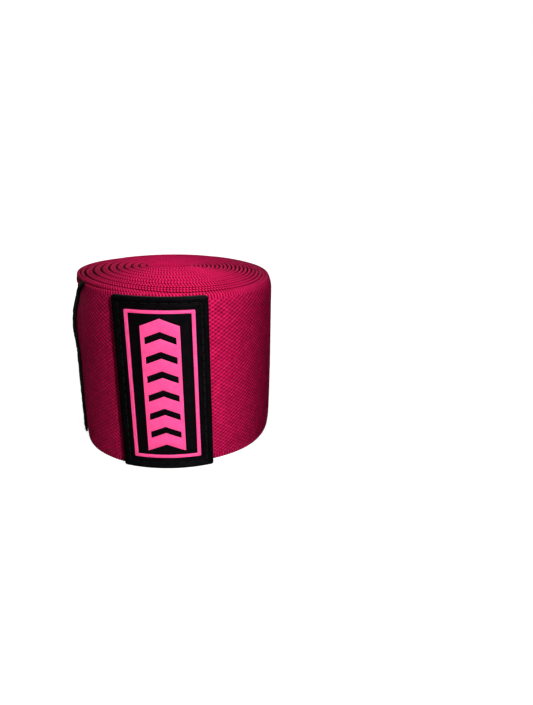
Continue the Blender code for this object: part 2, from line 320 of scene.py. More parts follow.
BACK_SPLIT = 236.0
FRONT_SPLIT = 79.0
TAB_SPLIT = 50.1
WALL_END = BACK_SPLIT + 362.0  # the finely woven wall goes once round the roll, and a little under itself
CORE_SPLIT = 8 * 360.0  # further in, the rounds are hardly squeezed
BEND = 4 * MM  # length of band that a hinge bends
TAB_BEND = 1.0 * MM


def smooth(value):
    value = np.clip(value, 0.0, 1.0)
    return value * value * (3 - 2 * value)


def lerp(a, b, share):
    return a + (b - a) * share


def rise(value, start, full):
    """From 0 where the value is at start to 1 where it is at full, which may be below start."""
    return smooth((value - start) / (full - start))


def bell(value, spread):
    return np.exp(-((value / spread) ** 2))


# --- where the band runs -------------------------------------------------------------------


def plan_of(turn):
    """The middle of the band's thickness seen from above, for an array of turns."""
    degrees = turn * 360
    depth = turn - 1
    share = depth / ROLL_TURNS
    outer = ROLL_RADIUS - BAND_THICKNESS / 2
    swell = LOOSENESS * np.cos(math.pi * (turn - LEFT_SIDE)) * smooth(depth)
    swell = swell + TAB_LIFT * rise(degrees, LIFT_ENDS, TAB_HINGE)
    angle = TIP_ANGLE - turn * TAU
    x = EYE_SHIFT[0] * share + (lerp(outer, EYE_HALF_LENGTH, share) + swell) * np.cos(angle)
    y = EYE_SHIFT[1] * share + (lerp(outer, EYE_HALF_WIDTH, share) + swell) * np.sin(angle)
    return np.stack([x, y], -1)


def outward_of(turn):
    """The direction out of the band's outer face, seen from above."""
    ahead = plan_of(turn + NUDGE) - plan_of(turn - NUDGE)
    ahead /= np.linalg.norm(ahead, axis=-1, keepdims=True)
    return np.stack([-ahead[..., 1], ahead[..., 0]], -1)


def dome_of(turn):
    """How far the middle of the roll is pushed up."""
    share = np.clip((turn - 2) / (ROLL_TURNS - 1), 0, 1)
    return DOME_HEIGHT * (1 - (1 - share) ** DOME_POWER)


def tilt_of(turn):
    """How much of the end tab's tilt a turn has, from 0 to 1."""
    return rise(turn * 360, TILT_STARTS, TILT_FULL)


def climb_of(turn):
    """How far the tilt has carried the band up, which is the tilt summed along it."""
    degrees = turn * 360
    span = math.radians(TILT_STARTS - TILT_FULL)
    x = np.clip((TILT_STARTS - degrees) / (TILT_STARTS - TILT_FULL), 0, 1)
    past = np.radians(np.maximum(TILT_FULL - degrees, 0))
    return TAB_TILT * ROLL_RADIUS * (span * (x**3 - x**4 / 2) + past)


def wave_of(angle, share):
    total = 0
    for strength, number, phase, lean in WAVES:
        total = total + strength * np.sin(number * angle + phase + lean * share)
    return total


def bite_of(turn, height, inner):
    """How far the band moves out on the left, where the tail's top edge bites into the roll."""
    left = np.clip(np.cos(TIP_ANGLE - turn * TAU - BULGE_ANGLE), 0, 1) ** BULGE_FOCUS
    tail = rise(turn, *TAIL_ENDS)
    on_tail = BULGE * bell(height - BULGE_HEIGHT, BULGE_SPREAD)
    on_tail = on_tail - PINCH * rise(height / BAND_WIDTH, *PINCH_SHARES)
    squeezed = SQUEEZE * rise(height, *SQUEEZE_TOP) * rise(height, *SQUEEZE_FOOT)
    behind = inner * (LIP * rise(height, *LIP_HEIGHTS) - squeezed)
    return left * lerp(behind, on_tail, tail)


def give_of(turn, height):
    """How far the soft band moves out and up from its CAD place."""
    angle = TIP_ANGLE - turn * TAU
    degrees = turn * 360
    share = height / BAND_WIDTH
    inner = np.exp(-np.maximum(turn - 1, 0) / CURL_ROUNDS)
    free = lerp(CURL_HELD, 1, rise(degrees, BADGE_ANGLE, BADGE_ANGLE + FREE_SPAN))
    side = lerp(CURL_LEFT, CURL_RIGHT, np.clip(np.cos(angle), 0, 1))
    top = np.clip((height - BAND_WIDTH + CURL_REACH) / CURL_REACH, 0, 1) ** 2
    foot = CURL_FOOT * np.clip((CURL_REACH - height) / CURL_REACH, 0, 1) ** 2
    out = WAVE * wave_of(angle, share) * inner * rise(degrees, BADGE_ANGLE, BADGE_ANGLE + WAVE_SPAN)
    out = out - CURL * inner * free * side * (top + foot)
    out = out + bite_of(turn, height, inner)
    out = out + PAIRING * top * np.cos(math.pi * (turn - LEFT_SIDE)) * rise(turn, *PAIRING_STARTS)
    out = out + BOW * np.sin(math.pi * share) * rise(turn, *BOW_STARTS) * rise(turn, *BOW_ENDS)

    tail = rise(degrees, *DROP_STARTS) * rise(degrees, *DROP_ENDS)
    near = smooth(RISE_SWING * np.cos(angle - RISE_ANGLE) - RISE_CUT)
    behind = rise(turn, *RISE_STARTS) * inner * near
    up = -SAG * inner * free * top - DROP * tail * share**4 + RISE * behind * share**2
    return out, up


def unshifted(turn, height, depth, soft=True):
    """Points at those turns, heights and depths, round the roll's own axis."""
    turn, height, depth = np.broadcast_arrays(turn, height, depth)
    lean = (height - BAND_WIDTH / 2) * TAB_TILT * tilt_of(turn) / (TAU * ROLL_RADIUS)
    out, up = give_of(turn, height) if soft else (0, 0)
    plan = plan_of(turn + lean) + outward_of(turn + lean) * np.asarray(depth + out)[..., None]
    z = height + dome_of(turn) + climb_of(turn) + up
    return np.concatenate([plan, z[..., None]], -1)


def joint_place(name):
    return np.array(next(joint["pos_m"] for joint in frame["joints"] if joint["name"] == name))


ROLL_AXIS = joint_place("tail_unwrap") - unshifted(
    TAIL_HINGE / 360, BAND_WIDTH / 2, BAND_THICKNESS / 2, soft=False
)


def on_band(turn, height, depth, soft=True):
    """Points in the frame, at those turns, heights and depths."""
    return unshifted(turn, height, depth, soft) + ROLL_AXIS


FINE_TURNS = np.linspace(-0.01, LAST_TURN + 0.01, 60001)
FINE_ALONG = np.concatenate(
    [[0], np.cumsum(np.linalg.norm(np.diff(plan_of(FINE_TURNS), axis=0), axis=1))]
)


def along_at(degrees):
    return float(np.interp(degrees / 360, FINE_TURNS, FINE_ALONG))


def turn_at(along):
    return np.interp(along, FINE_ALONG, FINE_TURNS)


# --- meshes --------------------------------------------------------------------------------


def new_piece(name, points, faces, material, lift=None, sharp=75):
    """A closed mesh from points and lists of faces, turned outside out."""
    points = np.asarray(points, float).reshape(-1, 3)
    mesh = bpy.data.meshes.new(name)
    totals = np.concatenate([np.full(len(f), f.shape[1]) for f in faces])
    corners = np.concatenate([f.ravel() for f in faces])
    volume = 0.0
    for f in faces:
        hub = points[f[:, 0]]
        for i in range(1, f.shape[1] - 1):
            volume += np.einsum("ij,ij->", hub, np.cross(points[f[:, i]], points[f[:, i + 1]]))
    if volume < 0:
        corners = np.concatenate([f[:, ::-1].ravel() for f in faces])
    mesh.vertices.add(len(points))
    mesh.vertices.foreach_set("co", points.astype(np.float32).ravel())
    mesh.loops.add(len(corners))
    mesh.loops.foreach_set("vertex_index", corners.astype(np.int32))
    mesh.polygons.add(len(totals))
    starts = np.concatenate([[0], np.cumsum(totals)[:-1]])
    mesh.polygons.foreach_set("loop_start", starts.astype(np.int32))
    mesh.update(calc_edges=True)
    if lift is not None:
        store = mesh.attributes.new("lift", "FLOAT", "POINT")
        store.data.foreach_set("value", np.asarray(lift, np.float32).ravel())
    return finish_piece(name, mesh, material, sharp)


def finish_piece(name, mesh, material, sharp=75):
    mesh.materials.append(material)
    mesh.shade_smooth()
    mesh.set_sharp_from_angle(angle=math.radians(sharp))
    piece = bpy.data.objects.new(name, mesh)
    bpy.context.scene.collection.objects.link(piece)
    return piece


def loft_faces(stations, ring, closed):
    """Quads between successive closed sections, with a cap at each end unless the loft is closed."""
    step = np.arange(stations if closed else stations - 1)[:, None]
    spot = np.arange(ring)[None, :]
    here, there = step * ring, (step + 1) % stations * ring
    after = (spot + 1) % ring
    corners = np.broadcast_arrays(here + spot, here + after, there + after, there + spot)
    quads = np.stack(corners, -1).reshape(-1, 4)
    if closed:
        return [quads]
    caps = np.stack([np.arange(ring)[::-1], (stations - 1) * ring + np.arange(ring)])
    return [quads, caps]


# --- the woven band ------------------------------------------------------------------------


def band_section(outer, inner, top, foot):
    """The closed outline of the band's section: height, depth, its normal's height and depth, and rib weight.

    outer and inner are the shares of the width at which the two faces have points. top and foot are
    the numbers of points round the two edges.
    """
    half = BAND_THICKNESS / 2
    low, high = half, BAND_WIDTH - half
    face = lerp(low, high, np.asarray(outer))
    back = lerp(low, high, np.asarray(inner))[::-1]
    parts = [(face, np.full_like(face, half), np.zeros_like(face), np.ones_like(face))]
    for centre, start, count in ((high, 0.0, top), (low, math.pi, foot)):
        turn = start + np.linspace(0, math.pi, count + 2)[1:-1]
        arc = (centre + half * np.sin(turn), half * np.cos(turn), np.sin(turn), np.cos(turn))
        parts.append(arc)
    parts.insert(2, (back, np.full_like(back, -half), np.zeros_like(back), -np.ones_like(back)))
    height, depth, up, out = (np.concatenate(values) for values in zip(*parts))
    edge = np.minimum(height, BAND_WIDTH - height)
    rib = 1 - rise(edge, SELVEDGE, SELVEDGE + SELVEDGE_FADE)
    return height, depth, up, out, rib


def scatter(i, j):
    """A number from 0 to 1 for each cell, the same each run."""
    value = np.sin(i * 12.9898 + j * 78.233) * 43758.5453
    return value - np.floor(value)


def weave_relief(along, height):
    """0 in the holes between the floats, and 1 on their crowns."""
    a = math.pi * along / WEAVE_ROW
    b = TAU * height / WEAVE_COLUMN
    rising = 0.5 + WEAVE_SLANT * np.cos(TIP_ANGLE - turn_at(along) * TAU)
    wave = rising * np.cos(a + b) + (1 - rising) * np.cos(a - b)
    row = np.round(along / WEAVE_ROW)
    column = np.round(height / WEAVE_COLUMN + row / 2)
    uneven = lerp(WEAVE_FAINTEST, 1, scatter(row, column))
    return np.clip(0.5 + 0.5 * wave, 0, 1) ** WEAVE_FULLNESS * uneven


def rib_relief(along, out):
    """The selvedge's slanted ribs, a chevron over the edge, which are boldest in front."""
    wave = np.cos(TAU * (along / WEAVE_ROW + RIB_SLANT * np.abs(out)))
    uneven = lerp(RIB_FAINTEST, 1, scatter(np.round(along / WEAVE_ROW), RIB_SCATTER_ROW))
    angle = TIP_ANGLE - turn_at(along) * TAU
    bold = lerp(RIB_BEHIND, 1, rise(np.cos(angle - RIB_ANGLE), *RIB_BOLD))
    # Away from the front, the ribs' level is painted lighter on the right and darker on the left, as the light falls.
    return lerp(RIB_LEVEL + RIB_SIDE_LIGHT * np.cos(angle), (RIB_MEAN + RIB_SWING * wave) * uneven, bold)


def shade_of(turn, section, shaded_faces):
    """How much of its lift a point keeps under painted shade, which darkens it between two rounds and in a line under
    the roll's rim.
    """
    height, _, up, out, _ = section
    # Faces that lie against the next round take painted shade, which is dark below the top edge.
    dark = (shaded_faces[0] & (out > 0)) | (shaded_faces[1] & (out < 0) & (turn < LAST_TURN - 1))
    side = np.clip(np.cos(TIP_ANGLE - turn * TAU), 0, 1)
    closed = np.exp(-np.maximum(turn - 1, 0) / SHADE_ROUNDS) * side
    gap = lerp(rise(up, *SHADE_EDGE), 1, SHADE_OPEN + SHADE_CLOSED * closed)
    # A painted shadow line on the outer face, just under the roll's rim behind the tail's top edge.
    rim_shade = bell(height - BAND_WIDTH + RIM_SHADE_DROP, RIM_SHADE_WIDTH) * (out > 0)
    rim_shade = RIM_SHADE * rim_shade * rise(turn, *RIM_SHADE_STARTS) * rise(turn, *RIM_SHADE_ENDS)
    return np.where(dark, gap, 1) * (1 - rim_shade)


def band_piece(name, start, end, section, per_row, material, shaded_faces=(False, False)):
    """A stretch of the band between two angles, with its weave.

    per_row is the number of steps for each row of floats. The last argument says whether its outer and its inner
    face lie against the next round, where little light gets in, which gives those faces painted shade.
    """
    height, depth, up, out, rib = section
    low, high = along_at(start), along_at(end)
    steps = round((high - low) / WEAVE_ROW * per_row)
    along = np.linspace(low, high, steps + 1)[:, None]
    weave = weave_relief(along, height[None, :]) * np.abs(out)
    ribs = rib_relief(along, out[None, :])
    turn = turn_at(along)
    lift = lerp(weave, ribs, rib) * shade_of(turn, section, shaded_faces)
    move = lerp(WEAVE_DEPTH * (weave - WEAVE_LEVEL), RIB_DEPTH * (ribs - RIB_LEVEL), rib)
    points = on_band(turn, height + up * move, depth + out * move)
    faces = loft_faces(len(along), len(height), closed=False)
    return new_piece(name, points, faces, material, lift)


def declare_stretch(piece, start, end):
    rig.sheet(piece, flat=(BAND_WIDTH, along_at(end) - along_at(start)), held="folded")
    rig.slot(piece, "band")


def hinge_line(angle, bend):
    """The points where a bend of the band starts and ends, on the band's outer face."""
    low = along_at(angle)
    turns = turn_at(np.array([low, low - bend]))
    start, end = unshifted(turns, BAND_WIDTH / 2, BAND_THICKNESS / 2, soft=False) + ROLL_AXIS
    return {"start": start.tolist(), "end": end.tolist()}


TAIL_BEND = hinge_line(TAIL_HINGE, BEND)


def make_band(material):
    """The band's seven pieces. Only the outer ones show their faces, so only those have a fine section."""
    fine = band_section(np.linspace(0, 1, 190), np.linspace(0, 1, 30), top=7, foot=5)
    squeezed_shares = (0, 0.5, 0.72, 0.84, 0.92, 1)
    plain_shares = (0, 0.5, 1)

    for name, start, end, shares in (
        ("band_middle_rounds", WALL_END, CORE_SPLIT, squeezed_shares),
        ("band_inner_rounds", CORE_SPLIT, LAST_TURN * 360, plain_shares),
    ):
        plain = band_section(shares, shares, top=5, foot=2)
        core = band_piece(name, start, end, plain, 4, material, (True, True))
        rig.ride(core, "roll")
        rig.replaces(core, "wound_band")
        declare_stretch(core, start, end)

    half_way = (BACK_SPLIT + WALL_END) / 2
    for name, start, end in (
        ("band_outer_round", BACK_SPLIT, half_way),
        ("band_under_tail", half_way, WALL_END),
    ):
        wall = band_piece(name, start, end, fine, 4, material, (False, True))
        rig.ride(wall, "roll")
        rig.replaces(wall, "wound_band")
        declare_stretch(wall, start, end)

    back = band_piece("band_back_run_woven", FRONT_SPLIT, BACK_SPLIT, fine, 3, material)
    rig.blend(back, "roll", "back_run", **TAIL_BEND)
    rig.replaces(back, "band_back_run")
    declare_stretch(back, FRONT_SPLIT, BACK_SPLIT)

    front = band_piece("band_front_run_woven", TAB_SPLIT, FRONT_SPLIT, fine, 5, material)
    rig.blend(front, "back_run", "front_run", **hinge_line(RUN_HINGE, BEND))
    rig.replaces(front, "band_front_run")
    declare_stretch(front, TAB_SPLIT, FRONT_SPLIT)

    tab = band_piece("band_end_tab_woven", 0, TAB_SPLIT, fine, 4, material)
    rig.blend(tab, "front_run", "end_tab", **hinge_line(TAB_HINGE, TAB_BEND))
    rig.replaces(tab, "band_end_tab")
    declare_stretch(tab, 0, TAB_SPLIT)


# --- plates on the band --------------------------------------------------------------------


def ring_line(width, height, radius, inset, columns, rows, arc):
    """A closed line of points round a rounded rectangle, `inset` in from its edge."""
    a, b = width / 2 - inset, height / 2 - inset
    r = max(radius - inset, 0.0)
    xs, ys = np.linspace(-(a - r), a - r, columns + 1), np.linspace(-(b - r), b - r, rows + 1)
    sides = [
        (xs, np.full(columns + 1, -b)),
        (np.full(rows + 1, a), ys),
        (xs[::-1], np.full(columns + 1, b)),
        (np.full(rows + 1, -a), ys[::-1]),
    ]
    corners = [(a - r, -(b - r)), (a - r, b - r), (-(a - r), b - r), (-(a - r), -(b - r))]
    line = []
    for quarter, ((x, y), (cx, cy)) in enumerate(zip(sides, corners)):
        line.append(np.stack([x, y], -1))
        angle = math.pi / 2 * (quarter - 1 + np.linspace(0, 1, arc + 2)[1:-1])
        line.append(np.stack([cx + r * np.cos(angle), cy + r * np.sin(angle)], -1))
    return np.concatenate(line)


def grid_quads(columns, rows, first):
    i = np.arange(columns)[:, None]
    j = np.arange(rows)[None, :]
    here = first + i * (rows + 1) + j
    return np.stack([here, here + rows + 1, here + rows + 2, here + 1], -1).reshape(-1, 4)


def plate_mesh(width, height, radius, profile, columns, rows, arc=6):
    """A closed plate in its own flat plane: points (x, y, depth) and faces.

    profile runs from the middle of the back round the edge to the middle of the face, as pairs of
    inset and depth. The first and the last inset have square corners, and are filled with a grid.
    """
    rings = [ring_line(width, height, radius, inset, columns, rows, arc) for inset, _ in profile]
    count = len(rings[0])
    depths = [np.full((count, 1), depth) for _, depth in profile]
    points = [np.hstack([ring, depth]) for ring, depth in zip(rings, depths)]
    faces = [loft_faces(len(rings), count, closed=False)[0]]
    first = count * len(rings)
    for (inset, depth), flip in ((profile[0], True), (profile[-1], False)):
        a, b = width / 2 - inset, height / 2 - inset
        x, y = np.meshgrid(np.linspace(-a, a, columns + 1), np.linspace(-b, b, rows + 1), indexing="ij")
        points.append(np.stack([x, y, np.full_like(x, depth)], -1).reshape(-1, 3))
        quads = grid_quads(columns, rows, first)
        faces.append(quads[:, ::-1] if flip else quads)
        first += (columns + 1) * (rows + 1)
    return np.concatenate(points), faces


def turn_outside_out(net):
    bmesh.ops.recalc_face_normals(net, faces=net.faces)
    if net.calc_volume(signed=True) < 0:
        bmesh.ops.reverse_faces(net, faces=net.faces)


def weld(piece):
    """Joins the points that two parts of a plate share."""
    net = bmesh.new()
    net.from_mesh(piece.data)
    bmesh.ops.remove_doubles(net, verts=net.verts, dist=0.0005 * MM)
    turn_outside_out(net)
    net.to_mesh(piece.data)
    net.free()
    return piece


def shallow_turn(turn, distance):
    """The turn that lies `distance` further in along the outermost round."""
    return turn + distance / (TAU * ROLL_RADIUS)


BADGE_BACK = BAND_THICKNESS / 2 + GAP
PANEL_FACE = BADGE_BACK + PANEL_THICKNESS
BADGE_TIP = -0.4 / 360  # in turns: it reaches just past the tip of the band
BADGE_ROOT = BADGE_ANGLE / 360
BADGE_LENGTH = (BADGE_ROOT - BADGE_TIP) * TAU * ROLL_RADIUS
BADGE_HEIGHT = BAND_WIDTH - 2 * BADGE_MARGIN
BADGE_CORNER = 0.6 * MM
BADGE_EDGE = 0.25 * MM
BEAD_ROUND = 0.5 * MM
BEAD_INNER = 1.15 * MM  # the insets at which the bead, the stitches' groove and the step end
GROOVE_INNER = 1.75 * MM
GROOVE_DEPTH = 0.12 * MM
STEP_INNER = 2.4 * MM
STEP_HEIGHT = 0.16 * MM
PANEL_INSET = 3 * MM
PRINT_SINK = 0.05 * MM  # how far the raised print reaches into the panel
PRINT_ROUND = 0.12 * MM


def on_badge(points):
    """Places flat points whose origin is the middle of the badge. x runs along the band, inwards."""
    turn = shallow_turn((BADGE_TIP + BADGE_ROOT) / 2, points[:, 0])
    return on_band(turn, BAND_WIDTH / 2 + points[:, 1], points[:, 2], soft=False)


def badge_profile():
    """Inset and depth from the badge's back, over its bead, groove and step, to its panel."""
    face, bead = PANEL_FACE, PANEL_FACE + BEAD_HEIGHT
    profile = [(PANEL_INSET, BADGE_BACK), (0.4 * MM, BADGE_BACK), (0, BADGE_BACK + BADGE_EDGE)]
    for angle in np.radians((0, 20, 45, 70, 90)):
        profile.append((BEAD_ROUND * (1 - math.cos(angle)), bead - BEAD_ROUND * (1 - math.sin(angle))))
    profile += [(BEAD_INNER, bead), (BEAD_INNER + 0.2 * MM, bead - 0.12 * MM)]
    profile += [(GROOVE_INNER - 0.3 * MM, face - 0.1 * MM), (GROOVE_INNER, face - GROOVE_DEPTH)]
    profile += [(GROOVE_INNER + 0.15 * MM, face + 0.1 * MM), (GROOVE_INNER + 0.3 * MM, face + STEP_HEIGHT)]
    profile += [(STEP_INNER, face + STEP_HEIGHT), (STEP_INNER + 0.15 * MM, face + 0.02 * MM)]
    profile.append((PANEL_INSET, face))
    return profile


def make_badge(rubber, print_rubber):
    flat, faces = plate_mesh(BADGE_LENGTH, BADGE_HEIGHT, BADGE_CORNER, badge_profile(), 48, 96)
    base = weld(new_piece("badge_plate", on_badge(flat), faces, rubber, sharp=40))
    outline, mark = outline_piece(print_rubber), mark_piece(print_rubber)
    for piece, node, slot in (
        (base, "badge_base", "badge_rubber"),
        (outline, "badge_outline", "badge_print"),
        (mark, "badge_mark", "badge_print"),
    ):
        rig.ride(piece, "end_tab")
        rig.replaces(piece, node)
        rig.slot(piece, slot)


def outline_piece(material):
    """The raised rectangle: a small rounded section carried round the badge."""
    width = BADGE_LENGTH - 2 * OUTLINE_INSET
    height = BADGE_HEIGHT - 2 * OUTLINE_END_INSET
    low, top = PANEL_FACE - PRINT_SINK, PANEL_FACE + GAP + PRINT_THICKNESS
    profile = [(0, low), (0, top - PRINT_ROUND), (PRINT_ROUND / 3, top - PRINT_ROUND / 3), (PRINT_ROUND, top)]
    profile += [(OUTLINE_WIDTH - inset, depth) for inset, depth in reversed(profile)]
    rings = [ring_line(width, height, 0.3 * MM, inset, 40, 80, 4) for inset, _ in profile]
    depths = [np.full((len(rings[0]), 1), depth) for _, depth in profile]
    points = np.concatenate([np.hstack([ring, depth]) for ring, depth in zip(rings, depths)])
    faces = loft_faces(len(profile), len(rings[0]), closed=True)
    return weld(new_piece("badge_outline_print", on_badge(points), faces, material, sharp=40))


def mark_piece(material):
    """A plain upright plate with chevron windows."""
    half = MARK_WIDTH / 2
    columns = [-half, *np.linspace(MARK_RAIL - half, half - MARK_RAIL, 9), half]
    rows = [0.0, MARK_BAR]
    for _ in range(MARK_WINDOWS):
        rows += [rows[-1] + MARK_WINDOW, rows[-1] + MARK_WINDOW + MARK_BAR]
    base = -(rows[-1] + half * MARK_SLOPE) / 2
    net = bmesh.new()
    corners = []
    for x in columns:
        foot = base + (half - abs(x)) * MARK_SLOPE
        corners.append([net.verts.new((x, foot + row, 0)) for row in rows])
    for i in range(len(columns) - 1):
        for j in range(len(rows) - 1):
            if i in (0, len(columns) - 2) or j % 2 == 0:
                square = [corners[i][j], corners[i + 1][j], corners[i + 1][j + 1], corners[i][j + 1]]
                net.faces.new(square)
    raised = bmesh.ops.extrude_face_region(net, geom=net.faces[:], use_keep_orig=True)
    for item in raised["geom"]:
        if isinstance(item, bmesh.types.BMVert):
            item.co.z = GAP + PRINT_THICKNESS + PRINT_SINK
    bmesh.ops.recalc_face_normals(net, faces=net.faces)
    rim = [edge for edge in net.edges if min(vert.co.z for vert in edge.verts) > 0]
    rim = [edge for edge in rim if edge.is_manifold and edge.calc_face_angle() > 0.5]
    bmesh.ops.bevel(net, geom=rim, offset=PRINT_ROUND, segments=3, profile=0.5, affect="EDGES")
    flat = np.array([vert.co for vert in net.verts])
    flat[:, 2] += PANEL_FACE - PRINT_SINK
    for vert, place in zip(net.verts, on_badge(flat)):
        vert.co = place
    turn_outside_out(net)
    mesh = bpy.data.meshes.new("badge_mark_print")
    net.to_mesh(mesh)
    net.free()
    return finish_piece("badge_mark_print", mesh, material, sharp=40)


# --- stitches ------------------------------------------------------------------------------


STITCH_SPACE = 0.08  # the share of the pitch that is left free at either end of a stitch
STITCH_STATIONS = 7
STITCH_SIDES = 6


def stitches(name, line, pitch, radius, place, material):
    """Thread stitches along a closed flat line (x, y, depth), each dipping in at both ends."""
    line = np.vstack([line, line[:1]])
    spans = np.linalg.norm(np.diff(line, axis=0), axis=1)
    walked = np.concatenate([[0], np.cumsum(spans)])
    count = round(walked[-1] / pitch)
    starts = np.arange(count) * walked[-1] / count
    shares = np.linspace(0, 1, STITCH_STATIONS)
    sides = np.arange(STITCH_SIDES) / STITCH_SIDES * TAU
    arch = np.sin(math.pi * shares)
    up = np.array([0, 0, 1.0])
    tube = loft_faces(STITCH_STATIONS, STITCH_SIDES, closed=False)
    points, quads, caps = [], [], []
    for number, start in enumerate(starts):
        at = start + pitch * lerp(STITCH_SPACE, 1 - STITCH_SPACE, shares)
        centre = np.stack([np.interp(at % walked[-1], walked, line[:, k]) for k in range(3)], -1)
        ahead = centre[-1, :2] - centre[0, :2]
        ahead /= np.linalg.norm(ahead)
        across = np.array([-ahead[1], ahead[0], 0.0])
        centre[:, 2] += radius * (0.9 * arch**0.5 - 0.6)
        thick = radius * (0.55 + 0.45 * arch**0.4)
        ring = np.cos(sides)[None, :, None] * across + np.sin(sides)[None, :, None] * up
        points.append((centre[:, None, :] + thick[:, None, None] * ring).reshape(-1, 3))
        quads.append(tube[0] + number * STITCH_STATIONS * STITCH_SIDES)
        caps.append(tube[1] + number * STITCH_STATIONS * STITCH_SIDES)
    faces = [np.concatenate(quads), np.concatenate(caps)]
    return new_piece(name, place(np.concatenate(points)), faces, material, sharp=60)


def seam_line(width, height, inset, depth):
    """A rectangle of points, `inset` in from the edge of a plate of that width and height."""
    ring = ring_line(width - 2 * inset, height - 2 * inset, 0.6 * MM, 0, 60, 60, 5)
    return np.hstack([ring, np.full((len(ring), 1), depth)])


def make_badge_stitches(material):
    line = seam_line(BADGE_LENGTH, BADGE_HEIGHT, 1.6 * MM, PANEL_FACE - 0.08 * MM)
    seam = stitches("badge_stitches", line, 2.3 * MM, 0.17 * MM, on_badge, material)
    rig.ride(seam, "end_tab")
    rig.replaces(seam, "badge_thread")
    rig.slot(seam, "black_thread")


# --- hook and loop closure -----------------------------------------------------------------


PATCH_FRONT = 86.5
PATCH_CORNER = 1.6 * MM
PATCH_EAR = 17.5  # how many degrees the patch's top front corner is pulled forward
EAR_RISE = 2.3 * MM
EAR_HEIGHTS = (46.9 * MM, 48 * MM)
EAR_SHARE = 0.14  # the share of the patch's length that rises
PILE_THICKNESS = 0.75 * MM
PILE_RELIEF = 0.34 * MM
PILE_LEVEL = 0.62
PILE_TUFTS = ((2.6 * MM, 0.25), (1.1 * MM, 0.35), (0.62 * MM, 0.4))  # size and strength
PATCH_SEAM_INSET = 1.9 * MM
PATCH_SEAM_WIDTH = 0.45 * MM
PATCH_SEAM_DEPTH = 0.28 * MM
PATCH_LENGTH = (PATCH_END - PATCH_FRONT) / 360 * TAU * ROLL_RADIUS
PATCH_HEIGHT = BAND_WIDTH - 2 * PATCH_MARGIN
PATCH_BACK = BAND_THICKNESS / 2 + GAP


def on_patch(points):
    """Places flat points whose origin is the middle of the patch. Its top front corner is pulled forward."""
    height = BAND_WIDTH / 2 + points[:, 1]
    share = points[:, 0] / PATCH_LENGTH + 0.5
    ear = rise(height, *EAR_HEIGHTS)
    turn = lerp(PATCH_FRONT - PATCH_EAR * ear, PATCH_END, share) / 360
    height = height + EAR_RISE * ear * np.clip(1 - share / EAR_SHARE, 0, 1)
    return on_band(turn, height, points[:, 2])


def patch_flat_length():
    """The patch's length at the middle of its thickness, which lies further out than the band."""
    wrap = math.radians(PATCH_END - PATCH_FRONT)
    return along_at(PATCH_END) - along_at(PATCH_FRONT) + wrap * (PATCH_BACK + PILE_THICKNESS / 2)


def pile(x, y):
    """The uneven height of brushed loops, from 0 to 1."""
    total = np.zeros_like(x)
    for octave, (size, strength) in enumerate(PILE_TUFTS):
        i, j = x / size + 7 * octave, y / size + 3 * octave
        left, below = np.floor(i), np.floor(j)
        u, v = smooth(i - left), smooth(j - below)
        near = lerp(scatter(left, below), scatter(left + 1, below), u)
        far = lerp(scatter(left, below + 1), scatter(left + 1, below + 1), u)
        total += lerp(near, far, v) * strength
    return total


def make_patch(material, thread):
    top = PATCH_BACK + PILE_THICKNESS
    profile = [(0.8 * MM, PATCH_BACK), (0.25 * MM, PATCH_BACK - 0.05 * MM), (0, PATCH_BACK + 0.3 * MM)]
    profile += [(0.02 * MM, PATCH_BACK + 0.45 * MM), (0.2 * MM, top - 0.2 * MM), (0.8 * MM, top)]
    flat, faces = plate_mesh(PATCH_LENGTH, PATCH_HEIGHT, PATCH_CORNER, profile, 200, 125)
    near = np.minimum(PATCH_LENGTH / 2 - np.abs(flat[:, 0]), PATCH_HEIGHT / 2 - np.abs(flat[:, 1]))
    face = rise(flat[:, 2], PATCH_BACK, PATCH_BACK + 0.5 * MM)
    tufts = pile(flat[:, 0], flat[:, 1])
    pulled = PATCH_SEAM_DEPTH * bell(near - PATCH_SEAM_INSET, PATCH_SEAM_WIDTH)
    flat[:, 2] += face * (PILE_RELIEF * (tufts - PILE_LEVEL) - pulled)
    patch = weld(new_piece("loop_pile_patch", on_patch(flat), faces, material, tufts, sharp=80))
    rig.blend(patch, "roll", "back_run", **TAIL_BEND)
    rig.replaces(patch, "loop_patch")
    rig.slot(patch, "loop_pile")
    size = (PATCH_HEIGHT, patch_flat_length())
    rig.sheet(patch, flat=size, held="stretched", rests_on=["band_back_run_woven"])

    line = seam_line(PATCH_LENGTH, PATCH_HEIGHT, PATCH_SEAM_INSET, top - 0.33 * MM)
    seam = stitches("loop_patch_stitches", line, 2.6 * MM, 0.19 * MM, on_patch, thread)
    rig.blend(seam, "roll", "back_run", **TAIL_BEND)
    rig.replaces(seam, "loop_patch_thread")
    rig.slot(seam, "black_thread")


HOOK_BACK = -BAND_THICKNESS / 2 - GAP
HOOK_BASE = 0.4 * MM
HOOK_CORNER = 1.2 * MM
HOOK_PITCH = 1.35 * MM
HOOK_WIRE = 0.13 * MM
HOOK_TAPER = 0.35
HOOK_STATIONS = 7
HOOK_SIDES = 5
HOOK_START = shallow_turn(0, HOOK_MARGIN)
HOOK_END = shallow_turn(BADGE_ROOT, -HOOK_MARGIN / 2)
HOOK_LENGTH = (HOOK_END - HOOK_START) * TAU * ROLL_RADIUS
HOOK_HEIGHT = BAND_WIDTH - 2 * HOOK_MARGIN


def on_strip(points):
    """Places flat points whose origin is the middle of the hook strip."""
    turn = shallow_turn((HOOK_START + HOOK_END) / 2, points[:, 0])
    return on_band(turn, BAND_WIDTH / 2 + points[:, 1], points[:, 2])


